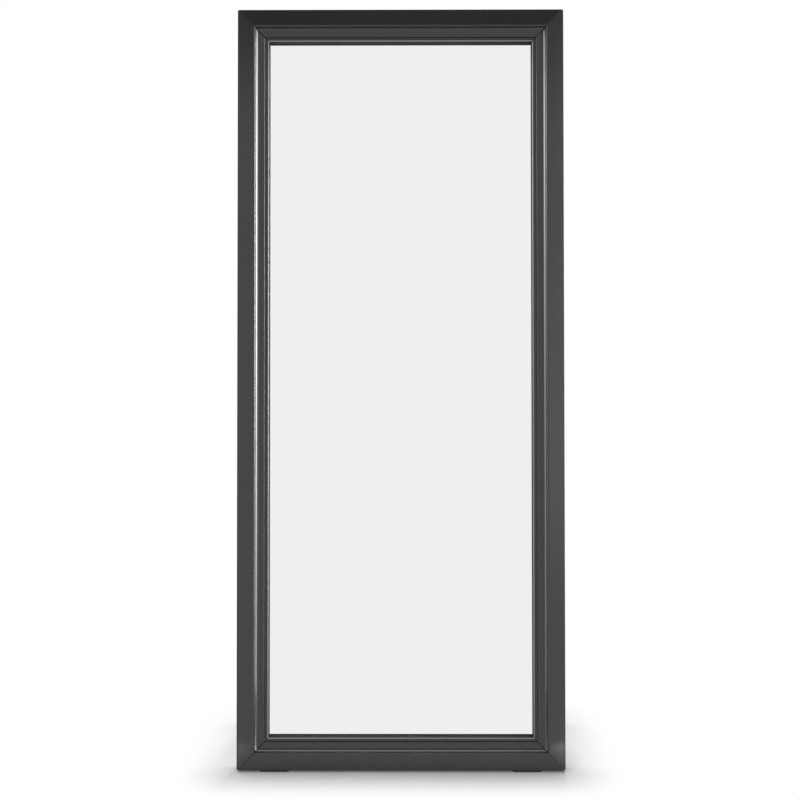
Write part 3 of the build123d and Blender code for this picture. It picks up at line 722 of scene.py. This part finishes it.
@dataclass
class MitredFrame:
    """The four lacquered mouldings, mitred and softened where they meet."""

    place: FramePlace
    section: MouldingSection = field(default_factory=MouldingSection)
    finish: Lacquer = field(default_factory=lambda: Lacquer("frame_lacquer_finish"))
    corner_round: float = 3.5 * MM
    joint_round: float = 0.9 * MM
    joint_gap: float = 0.22 * MM
    rings: tuple[float, ...] = (0.0, 0.1, 0.25, 0.45, 0.7, 0.9, 1.4, 2.0, 2.8, 4.0)
    hung: dict[str, float] = field(default_factory=lambda: {"left_stile": -1.0, "right_stile": 1.0})

    def build(self) -> None:
        """Builds the four rails in order round the frame."""
        half, height = self.place.width / 2, self.place.height
        across, up = Vector((1, 0, 0)), self.place.up
        corners = {
            "bottom_rail": (self.place.point(-half, 0, 0), across, up, self.place.width),
            "right_stile": (self.place.point(half, 0, 0), up, -across, height),
            "top_rail": (self.place.point(half, height, 0), -across, -up, self.place.width),
            "left_stile": (self.place.point(-half, height, 0), -up, across, height),
        }
        dress = self.finish.material()
        for node, (start, run, inwards, length) in corners.items():
            piece = self._rail(node + "_moulding", start, run, inwards, length)
            if node in self.hung:
                HangerPocket(self.place, self.hung[node]).cut(piece)
            piece.data.materials.append(dress)
            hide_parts(node)
            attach(piece, "mirror")
            LOG.info("built %s", piece.name)

    def _softened(self, along: float, inwards: float) -> tuple[float, float]:
        """Moves a plan point near the outer corner onto the rounded corner."""
        size = self.corner_round
        if along >= size or inwards >= size:
            return along, inwards
        across, deep = size - along, size - inwards
        share = max(across, deep) / math.hypot(across, deep)
        return size - across * share, size - deep * share

    def _rail(
        self, name: str, start: Vector, run: Vector, inwards: Vector, length: float
    ) -> bpy.types.Object:
        """Sweeps the section along one side of the frame.

        Args:
            name: the piece's name.
            start: the side's first outer corner, on the back plane.
            run: direction along the side.
            inwards: direction from the outer edge to the glass.
            length: outer length of the side.

        Returns:
            The moulding as a mesh object.
        """
        outline = self.section.points()
        root2 = math.sqrt(2.0)
        mesh = bmesh.new()
        matte = mesh.verts.layers.float.new("matte")
        # Share of the painted highlight at each vertex, along the sight edge's crest.
        crest_highlight = mesh.verts.layers.float.new("crest_highlight")
        loops = []
        plan = [(d * MM, False) for d in self.rings] + [(d * MM, True) for d in reversed(self.rings)]
        for distance, far in plan:
            left = max(0.0, self.joint_round - distance)
            drop = self.joint_round - math.sqrt(self.joint_round**2 - left**2)
            loop = []
            for point in outline:
                inset = point.spot - point.normal * (drop * point.soften)
                along, deep = self._softened(inset.x + (distance + self.joint_gap) * root2, inset.x)
                along = length - along if far else along
                vertex = mesh.verts.new(start + run * along + inwards * deep + self.place.front * inset.y)
                vertex[matte] = max(point.matte, 1.0 - distance / self.joint_round)
                vertex[crest_highlight] = point.crest_highlight
                loop.append(vertex)
            loops.append(loop)
        count = len(outline)
        for first, second in zip(loops, loops[1:]):
            for i in range(count):
                j = (i + 1) % count
                mesh.faces.new((first[i], first[j], second[j], second[i]))
        mesh.faces.new(loops[0])
        mesh.faces.new(list(reversed(loops[-1])))
        bmesh.ops.recalc_face_normals(mesh, faces=mesh.faces)
        data = bpy.data.meshes.new(name)
        mesh.to_mesh(data)
        mesh.free()
        for polygon in data.polygons:
            polygon.use_smooth = len(polygon.vertices) == 4
        piece = bpy.data.objects.new(name, data)
        bpy.context.collection.objects.link(piece)
        return piece


@dataclass
class Fittings:
    """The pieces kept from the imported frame, each with its finish."""

    def dress(self) -> None:
        """Gives every kept node its finish."""
        finishes: dict[Finish, tuple[str, ...]] = {
            Silvering("silvered_glass"): ("mirror_glass",),
            Foam("foam_tape_finish"): ("glazing_tape",),
            Hardboard("brown_hardboard"): ("back_panel",),
            BareTimber("pressed_beech"): ("mitre_biscuits",),
            Plated("zinc_plate"): (
                "panel_clips",
                "panel_clip_screws",
                "corner_braces",
                "corner_brace_screws",
                "keyhole_plates",
                "keyhole_plate_screws",
                "pivot_nuts",
            ),
            PowderCoat("black_powder_coat"): ("left_hinge_bracket", "right_hinge_bracket"),
            BlackOxide("black_oxide"): ("hinge_bracket_screws", "pivot_bolts", "crossbar_screws"),
            Rubber("moulded_rubber"): ("floor_pads", "wall_bumpers", "left_leg_tip", "right_leg_tip"),
            Nylon("natural_nylon"): ("pivot_washers", "pivot_bushes"),
            LacqueredTimber("leg_lacquer"): ("left_leg", "right_leg"),
            LacqueredTimber("crossbar_lacquer", along=Along.CROSSWISE): ("upper_crossbar", "lower_crossbar"),
        }
        for finish, nodes in finishes.items():
            made = finish.material()
            for node in nodes:
                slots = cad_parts[node].data.materials
                slots.clear()
                slots.append(made)
                LOG.info("dressed %s with %s", node, made.name)


@dataclass(frozen=True)
class Patch:
    """A soft light seen in the gloss: levels by bearing right of the front and by height, in degrees."""

    level: float
    bearing: tuple[tuple[float, float], ...]
    height: tuple[tuple[float, float], ...]

    def shine(self, bearing: Sock, height: Sock) -> Sock:
        """Returns the patch's light in a direction."""
        return bearing.curve(self.bearing) * height.curve(self.height) * self.level


@dataclass(frozen=True)
class Lamp:
    """A soft lamp that gives light and shadow but no reflection; spot and size are in metres."""

    name: str
    spot: Triple
    size: tuple[float, float]
    watts: float

    def hang(self, target: Vector) -> None:
        """Hangs the lamp so that it faces the target."""
        lamp = bpy.data.lights.new(self.name, "AREA")
        lamp.shape = "RECTANGLE"
        lamp.size, lamp.size_y = self.size
        lamp.energy = self.watts
        holder = bpy.data.objects.new(self.name, lamp)
        bpy.context.collection.objects.link(holder)
        holder.location = Vector(self.spot)
        holder.rotation_euler = (target - Vector(self.spot)).to_track_quat("-Z", "Y").to_euler()
        holder.visible_camera = False
        holder.visible_glossy = False


@dataclass
class Studio:
    """White floor and surround, a dark flag under the ceiling, and a soft light at each side."""

    place: FramePlace
    floor_half: float = 0.62
    shadow_reach: float = 0.15
    # Painted reflection: in reflections the floor is lifted towards white, also inside its shadow.
    gloss_lift: float = 0.35
    rail_half: float = 0.03
    # Painted light lifting the real shadow under the bottom rail.
    under_glow: float = 0.07
    # Painted reflection: the floor is brighter in reflections towards each side, standing in for light
    # spilled from the side lights.
    right_spill: float = 3.0
    left_spill: float = 1.2
    spill_span: tuple[float, float] = (0.42, 0.62)
    rail_soft: float = 0.012
    rail_ends: tuple[float, float] = (0.38, 0.392)
    floor_paint: Triple = (0.6, 0.6, 0.6)
    ceiling_level: float = 1.6
    ceiling_span: tuple[float, float] = (52.0, 66.0)
    ambient: float = 0.75
    flag_share: float = 0.93
    flag_brink: float = 28.0
    flag_soft: float = 3.5
    flag_dip: float = 7.5
    dip_span: tuple[float, float] = (6.0, 18.0)
    flag_top: tuple[float, float] = (48.0, 62.0)
    flag_sides: tuple[float, float] = (60.0, 80.0)
    overhead: Lamp = Lamp("overhead_strip", (0.0, 0.37, 3.2), (2.0, 0.3), 50.0)
    front_key: Lamp = Lamp("front_key", (-1.6, -2.6, 2.6), (1.4, 1.4), 40.0)
    back_key: Lamp = Lamp("back_key", (0.3, 2.4, 2.6), (1.2, 1.2), 60.0)
    right_light: Patch = Patch(
        31.0,
        ((24.0, 0.0), (35.0, 0.03), (64.0, 0.12), (72.0, 1.0), (104.0, 1.0), (112.0, 0.12), (126.0, 0.0)),
        (
            (-30.0, 0.1),
            (-11.0, 0.25),
            (-8.4, 0.28),
            (-5.0, 0.43),
            (0.0, 0.7),
            (5.6, 1.0),
            (12.0, 1.0),
            (14.6, 0.86),
            (17.0, 0.7),
            (22.0, 0.48),
            (45.0, 0.0),
        ),
    )
    right_fill: Patch = Patch(
        0.6,
        ((12.0, 0.0), (18.0, 1.0), (30.0, 1.0), (40.0, 0.0)),
        (
            (-3.5, 0.0),
            (-1.7, 0.2),
            (0.8, 0.75),
            (5.2, 1.0),
            (6.9, 0.75),
            (11.0, 0.42),
            (15.0, 0.17),
            (22.0, 0.2),
            (30.0, 0.0),
        ),
    )
    left_light: Patch = Patch(
        13.0,
        ((-120.0, 0.0), (-100.0, 0.1), (-90.0, 0.3), (-84.0, 1.0), (-64.0, 1.0), (-57.0, 0.15), (-50.0, 0.0)),
        (
            (-30.0, 0.05),
            (-9.5, 0.13),
            (-3.0, 0.2),
            (0.6, 0.28),
            (4.8, 0.46),
            (8.3, 0.6),
            (11.0, 0.95),
            (13.0, 1.0),
            (16.0, 0.95),
            (17.0, 0.56),
            (20.0, 0.37),
            (45.0, 0.0),
        ),
    )

    def build(self) -> None:
        """Builds the floor, the surround and the lamps."""
        self._floor()
        self._surround()
        middle = self.place.point(0.0, self.place.height / 2, 0.0)
        base = Vector((0.0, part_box("bottom_rail")[0].y, 0.0))
        self.overhead.hang(base)
        self.front_key.hang(middle)
        self.back_key.hang(middle)

    def _floor(self) -> None:
        """Lays a white floor that keeps only the shadow close to the mirror; painted light lifts that shadow
        under the bottom rail, and painted reflections make the floor whiter in reflections and brighter
        towards the sides.
        """
        half = self.floor_half
        data = bpy.data.meshes.new("studio_floor")
        corners = [(-half, -half, 0), (half, -half, 0), (half, half, 0), (-half, half, 0)]
        data.from_pydata(corners, [], [(0, 1, 2, 3)])
        floor = bpy.data.objects.new("studio_floor", data)
        bpy.context.collection.objects.link(floor)
        made = bpy.data.materials.new("studio_floor_paint")
        made.use_nodes = True
        graph = Graph(made.node_tree)
        spot = graph.node("ShaderNodeSeparateXYZ", {}, {0: graph.place()})
        low, high = (Vector(corner) for corner in CAD_BOX)
        across = abs(spot.out(0) - (low.x + high.x) / 2) - (high.x - low.x) / 2
        deep = abs(spot.out(1) - (low.y + high.y) / 2) - (high.y - low.y) / 2
        away = (across.most(0.0).power(2.0) + deep.most(0.0).power(2.0)).power(0.5)
        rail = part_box("bottom_rail")
        off_rail = abs(spot.out(1) - (rail[0].y + rail[1].y) / 2)
        under = 1.0 - off_rail.ramp(self.rail_half - self.rail_soft, self.rail_half)
        between = 1.0 - abs(spot.out(0)).ramp(*self.rail_ends)
        # Painted light: under the bottom rail, between its ends, the floor is mixed a little towards white,
        # lightening the real shadow in the gap.
        far = away.ramp(0.0, self.shadow_reach) + under * between * self.under_glow
        path = graph.node("ShaderNodeLightPath")
        seen = path.out("Is Camera Ray").most(path.out("Is Glossy Ray")).most(path.out("Is Transmission Ray"))
        paint = graph.node("ShaderNodeBsdfDiffuse", {}, {"Color": self.floor_paint}).out()
        # Painted reflection: extra floor brightness towards each side, seen by glossy rays only.
        to_right = spot.out(0).ramp(*self.spill_span) * self.right_spill
        to_left = (spot.out(0) * -1.0).ramp(*self.spill_span) * self.left_spill
        spill = to_right + to_left
        strength = path.out("Is Glossy Ray") * spill + 1.0
        white = graph.node("ShaderNodeEmission", {}, {"Color": (1.0, 1.0, 1.0), "Strength": strength}).out()
        # Painted reflection: glossy rays see the floor lifted towards white by gloss_lift.
        share = seen * far + path.out("Is Glossy Ray") * self.gloss_lift
        shader = graph.node("ShaderNodeMixShader", {}, {0: share, 1: paint, 2: white}).out()
        graph.node("ShaderNodeOutputMaterial", {}, {"Surface": shader})
        data.materials.append(made)

    def _surround(self) -> None:
        """Lights the world: white to look at, with the flag and the soft lights in reflections only."""
        world = bpy.data.worlds.new("studio_surround")
        bpy.context.scene.world = world
        world.use_nodes = True
        graph = Graph(world.node_tree)
        way = graph.node("ShaderNodeSeparateXYZ", {}, {0: graph.node("ShaderNodeTexCoord").out("Generated")})
        degrees = 180.0 / math.pi
        bearing = way.out(0).bearing(way.out(1) * -1.0) * degrees
        height = way.out(2).arcsine() * degrees
        aside = abs(bearing)
        brink = self.flag_brink - aside.ramp(*self.dip_span) * self.flag_dip
        raised = (height - brink).ramp(-self.flag_soft, self.flag_soft)
        flag = raised * (1.0 - height.ramp(*self.flag_top)) * (1.0 - aside.ramp(*self.flag_sides))
        reflected = 1.0 - flag * self.flag_share + height.ramp(*self.ceiling_span) * self.ceiling_level
        for patch in (self.right_light, self.right_fill, self.left_light):
            reflected = reflected + patch.shine(bearing, height)
        path = graph.node("ShaderNodeLightPath")
        glossy = path.out("Is Glossy Ray").most(path.out("Is Transmission Ray"))
        camera = path.out("Is Camera Ray")
        level = camera + glossy * reflected + (1.0 - camera) * (1.0 - glossy) * self.ambient
        shade = graph.node("ShaderNodeBackground", {}, {"Color": (1.0, 1.0, 1.0), "Strength": level}).out()
        graph.node("ShaderNodeOutputWorld", {}, {"Surface": shade})


@dataclass
class Photographer:
    """The camera that took the photograph, fitted to the frame's four outer corners."""

    place: FramePlace
    distance: float = 3.2
    up_frame: float = 0.9
    across: float = 0.0011
    yaw: float = math.radians(0.265)
    pitch: float = math.radians(1.136)
    roll: float = math.radians(0.03)
    focal_px: float = 1314.3
    shift_px: tuple[float, float] = (-4.9, -32.2)
    image: int = 800
    sensor_mm: float = 36.0

    def build(self) -> None:
        """Sets the camera up and makes it the scene's own."""
        data = bpy.data.cameras.new("photographer")
        data.sensor_width = self.sensor_mm
        data.lens = self.focal_px / self.image * data.sensor_width
        data.shift_x = -self.shift_px[0] / self.image
        data.shift_y = self.shift_px[1] / self.image
        camera = bpy.data.objects.new("photographer", data)
        bpy.context.collection.objects.link(camera)
        look, up = -self.place.front, self.place.up
        look = Matrix.Rotation(self.yaw, 3, up) @ look
        right = look.cross(up)
        look = Matrix.Rotation(self.pitch, 3, right) @ look
        up = right.cross(look)
        roll = Matrix.Rotation(self.roll, 3, look)
        right, up = roll @ right, roll @ up
        axes = Matrix((right, up, -look)).transposed().to_4x4()
        spot = self.place.point(self.across, self.up_frame, self.distance)
        camera.matrix_world = Matrix.Translation(spot) @ axes
        bpy.context.scene.camera = camera


def main() -> None:
    """Builds the mirror and its studio in order."""
    logging.basicConfig(level=logging.INFO)
    place = FramePlace()
    Photographer(place).build()
    Studio(place).build()
    MitredFrame(place).build()
    Fittings().dress()
    bpy.context.scene.view_settings.view_transform = "Standard"


if __name__ == "__main__":
    main()
